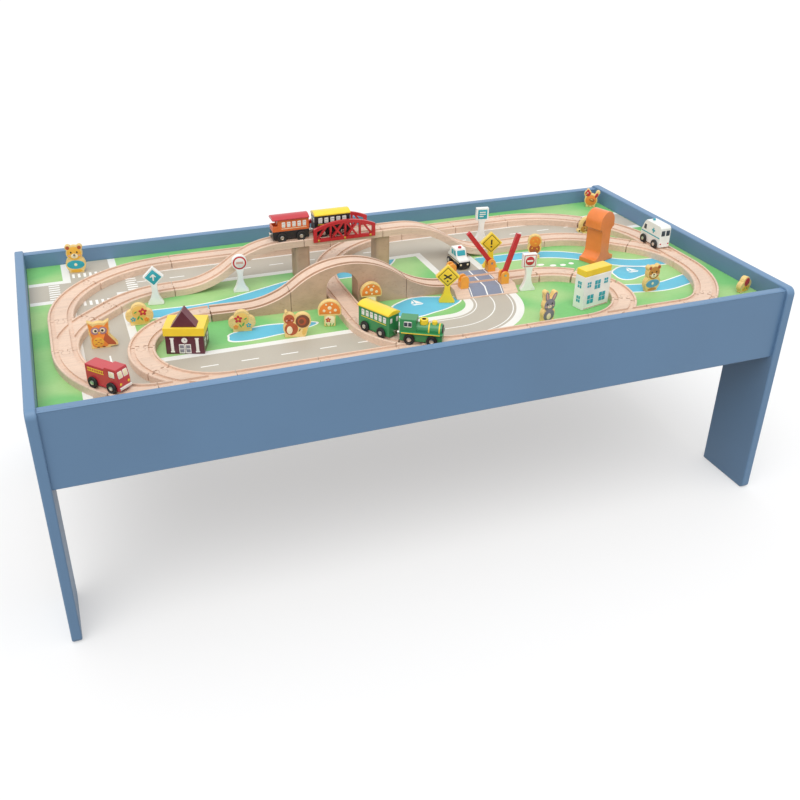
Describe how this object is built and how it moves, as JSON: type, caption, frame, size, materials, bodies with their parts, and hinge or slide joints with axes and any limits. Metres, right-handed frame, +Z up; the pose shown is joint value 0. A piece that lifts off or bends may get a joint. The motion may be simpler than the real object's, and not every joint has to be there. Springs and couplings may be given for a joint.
{
  "type": "train table",
  "caption": "Low painted play table with a recessed tray, laid with a wooden toy railway with switches, bridge, viaduct, level crossing, rolling vehicles and figures.",
  "frame": {"origin": "on the floor, under the middle of the table's footprint", "axes": "+X along the table's length, to the right of someone at its front; +Y to its back; +Z up"},
  "size_m": [1.2, 0.61, 0.479],
  "materials": {
    "paint": "satin paint",
    "board_print": "printed and lacquered",
    "batten_wood": "bare",
    "steel": "zinc plated",
    "beech": "sanded, clear lacquer",
    "red_paint": "gloss paint",
    "amber_paint": "gloss paint",
    "green_paint": "gloss paint",
    "yellow_paint": "gloss paint",
    "orange_paint": "gloss paint",
    "black_paint": "gloss paint",
    "white_paint": "gloss paint",
    "maroon_paint": "gloss paint",
    "figure_wood": "printed face, bare edges",
    "black_plastic": "moulded"
  },
  "bodies": {
    "table": {"left_end_panel": "paint", "right_end_panel": "paint", "front_apron": "paint", "back_apron": "paint", "playboard": "board_print", "battens": "batten_wood", "connector_bolts": "steel", "barrel_nuts": "steel", "batten_screws": "steel", "outer_curves": "beech", "inner_curves": "beech", "straight_tracks": "beech", "switch_tracks": "beech", "bridge_ramps": "beech", "bridge_deck": "beech", "bridge_trusses": "red_paint", "bridge_piers": "beech", "viaduct_arch": "beech", "viaduct_ramps": "beech", "crossing_track": "beech", "barrier_posts": "amber_paint", "barrier_pins": "steel", "station_walls": "maroon_paint", "station_roof": "yellow_paint", "clinic_walls": "white_paint", "clinic_roof": "yellow_paint", "loading_tower": "orange_paint", "white_signs": "white_paint", "yellow_signs": "yellow_paint", "animal_figures": "figure_wood", "plant_figures": "figure_wood"},
    "engine": {"engine_body": "green_paint", "engine_fittings": "yellow_paint"},
    "engine_front_wheels": {"engine_front_wheels": "black_plastic"},
    "engine_rear_wheels": {"engine_rear_wheels": "black_plastic"},
    "green_coach": {"green_coach_body": "green_paint", "green_coach_roof": "yellow_paint"},
    "green_coach_front_wheels": {"green_coach_front_wheels": "black_plastic"},
    "green_coach_rear_wheels": {"green_coach_rear_wheels": "black_plastic"},
    "orange_coach": {"orange_coach_body": "orange_paint", "orange_coach_chassis": "black_paint", "orange_coach_roof": "red_paint"},
    "orange_coach_front_wheels": {"orange_coach_front_wheels": "black_plastic"},
    "orange_coach_rear_wheels": {"orange_coach_rear_wheels": "black_plastic"},
    "black_coach": {"black_coach_body": "black_paint", "black_coach_roof": "yellow_paint"},
    "black_coach_front_wheels": {"black_coach_front_wheels": "black_plastic"},
    "black_coach_rear_wheels": {"black_coach_rear_wheels": "black_plastic"},
    "ambulance": {"ambulance_body": "white_paint"},
    "ambulance_front_wheels": {"ambulance_front_wheels": "black_plastic"},
    "ambulance_rear_wheels": {"ambulance_rear_wheels": "black_plastic"},
    "fire_truck": {"fire_truck_body": "red_paint"},
    "fire_truck_front_wheels": {"fire_truck_front_wheels": "black_plastic"},
    "fire_truck_rear_wheels": {"fire_truck_rear_wheels": "black_plastic"},
    "patrol_car": {"patrol_car_body": "black_paint", "patrol_car_cabin": "white_paint"},
    "patrol_car_front_wheels": {"patrol_car_front_wheels": "black_plastic"},
    "patrol_car_rear_wheels": {"patrol_car_rear_wheels": "black_plastic"},
    "near_barrier_arm": {"near_barrier_arm": "red_paint"},
    "far_barrier_arm": {"far_barrier_arm": "red_paint"}
  },
  "joints": [
    {"name": "engine_roll", "type": "hinge", "parent": "table", "child": "engine", "pos_m": [0.033, -0.133, 0.376], "axis": [0, 0, 1], "range_deg": [-16, 22]},
    {"name": "engine_front_axle", "type": "hinge", "parent": "engine", "child": "engine_front_wheels", "pos_m": [-0.01882, -0.25224, 0.3818], "axis": [0.515, 0.8572, 0], "continuous": true},
    {"name": "engine_rear_axle", "type": "hinge", "parent": "engine", "child": "engine_rear_wheels", "pos_m": [-0.04796, -0.23473, 0.3818], "axis": [0.515, 0.8572, 0], "continuous": true},
    {"name": "green_coach_roll", "type": "hinge", "parent": "table", "child": "green_coach", "pos_m": [0.033, -0.133, 0.376], "axis": [0, 0, 1], "range_deg": [-16, 22]},
    {"name": "green_coach_front_axle", "type": "hinge", "parent": "green_coach", "child": "green_coach_front_wheels", "pos_m": [-0.07492, -0.20551, 0.3818], "axis": [0.8958, 0.4444, 0], "continuous": true},
    {"name": "green_coach_rear_axle", "type": "hinge", "parent": "green_coach", "child": "green_coach_rear_wheels", "pos_m": [-0.09003, -0.17505, 0.3818], "axis": [0.8958, 0.4444, 0], "continuous": true},
    {"name": "orange_coach_roll", "type": "slide", "parent": "table", "child": "orange_coach", "axis": [1, 0, 0], "range_m": [0, 0.1]},
    {"name": "orange_coach_front_axle", "type": "hinge", "parent": "orange_coach", "child": "orange_coach_front_wheels", "pos_m": [-0.127, 0.09, 0.4418], "axis": [0, 1, 0], "continuous": true},
    {"name": "orange_coach_rear_axle", "type": "hinge", "parent": "orange_coach", "child": "orange_coach_rear_wheels", "pos_m": [-0.161, 0.09, 0.4418], "axis": [0, 1, 0], "continuous": true},
    {"name": "black_coach_roll", "type": "slide", "parent": "table", "child": "black_coach", "axis": [1, 0, 0], "range_m": [0, 0.1]},
    {"name": "black_coach_front_axle", "type": "hinge", "parent": "black_coach", "child": "black_coach_front_wheels", "pos_m": [-0.053, 0.09, 0.4418], "axis": [0, 1, 0], "continuous": true},
    {"name": "black_coach_rear_axle", "type": "hinge", "parent": "black_coach", "child": "black_coach_rear_wheels", "pos_m": [-0.087, 0.09, 0.4418], "axis": [0, 1, 0], "continuous": true},
    {"name": "ambulance_roll", "type": "slide", "parent": "table", "child": "ambulance", "axis": [0, 1, 0], "range_m": [-0.06, 0.003]},
    {"name": "ambulance_front_axle", "type": "hinge", "parent": "ambulance", "child": "ambulance_front_wheels", "pos_m": [0.534, 0.0091, 0.3818], "axis": [-1, 0, 0], "continuous": true},
    {"name": "ambulance_rear_axle", "type": "hinge", "parent": "ambulance", "child": "ambulance_rear_wheels", "pos_m": [0.534, -0.02491, 0.3818], "axis": [-1, 0, 0], "continuous": true},
    {"name": "fire_truck_roll", "type": "hinge", "parent": "table", "child": "fire_truck", "pos_m": [-0.337, -0.09791, 0.376], "axis": [0, 0, 1], "range_deg": [-30, 0]},
    {"name": "fire_truck_front_axle", "type": "hinge", "parent": "fire_truck", "child": "fire_truck_front_wheels", "pos_m": [-0.47747, -0.24254, 0.3818], "axis": [0.7547, 0.6561, 0], "continuous": true},
    {"name": "fire_truck_rear_axle", "type": "hinge", "parent": "fire_truck", "child": "fire_truck_rear_wheels", "pos_m": [-0.49977, -0.21688, 0.3818], "axis": [0.7547, 0.6561, 0], "continuous": true},
    {"name": "patrol_car_roll", "type": "slide", "parent": "table", "child": "patrol_car", "axis": [0, -1, 0], "range_m": [-0.003, 0.012]},
    {"name": "patrol_car_front_axle", "type": "hinge", "parent": "patrol_car", "child": "patrol_car_front_wheels", "pos_m": [0.15449, 0.02557, 0.3713], "axis": [1, 0, 0], "continuous": true},
    {"name": "patrol_car_rear_axle", "type": "hinge", "parent": "patrol_car", "child": "patrol_car_rear_wheels", "pos_m": [0.15449, 0.05357, 0.3713], "axis": [1, 0, 0], "continuous": true},
    {"name": "near_barrier_arm_hinge", "type": "hinge", "parent": "table", "child": "near_barrier_arm", "pos_m": [0.18192, -0.08433, 0.391], "axis": [0.0523, 0.9986, 0], "range_deg": [-107, 0]},
    {"name": "far_barrier_arm_hinge", "type": "hinge", "parent": "table", "child": "far_barrier_arm", "pos_m": [0.18496, -0.02641, 0.391], "axis": [0.0523, 0.9986, 0], "range_deg": [-52, 55]}
  ],
  "couplings": [
    {"joint": "engine_front_axle", "follows": "engine_roll", "ratio": 15.294},
    {"joint": "engine_rear_axle", "follows": "engine_roll", "ratio": 15.294},
    {"joint": "green_coach_roll", "follows": "engine_roll", "ratio": 1},
    {"joint": "green_coach_front_axle", "follows": "engine_roll", "ratio": 15.294},
    {"joint": "green_coach_rear_axle", "follows": "engine_roll", "ratio": 15.294},
    {"joint": "orange_coach_front_axle", "follows": "orange_coach_roll", "rad_per_m": 117.65},
    {"joint": "orange_coach_rear_axle", "follows": "orange_coach_roll", "rad_per_m": 117.65},
    {"joint": "black_coach_roll", "follows": "orange_coach_roll", "ratio": 1},
    {"joint": "black_coach_front_axle", "follows": "orange_coach_roll", "rad_per_m": 117.65},
    {"joint": "black_coach_rear_axle", "follows": "orange_coach_roll", "rad_per_m": 117.65},
    {"joint": "ambulance_front_axle", "follows": "ambulance_roll", "rad_per_m": 117.65},
    {"joint": "ambulance_rear_axle", "follows": "ambulance_roll", "rad_per_m": 117.65},
    {"joint": "fire_truck_front_axle", "follows": "fire_truck_roll", "ratio": 23.765},
    {"joint": "fire_truck_rear_axle", "follows": "fire_truck_roll", "ratio": 23.765},
    {"joint": "patrol_car_front_axle", "follows": "patrol_car_roll", "rad_per_m": 142.86},
    {"joint": "patrol_car_rear_axle", "follows": "patrol_car_roll", "rad_per_m": 142.86}
  ]
}
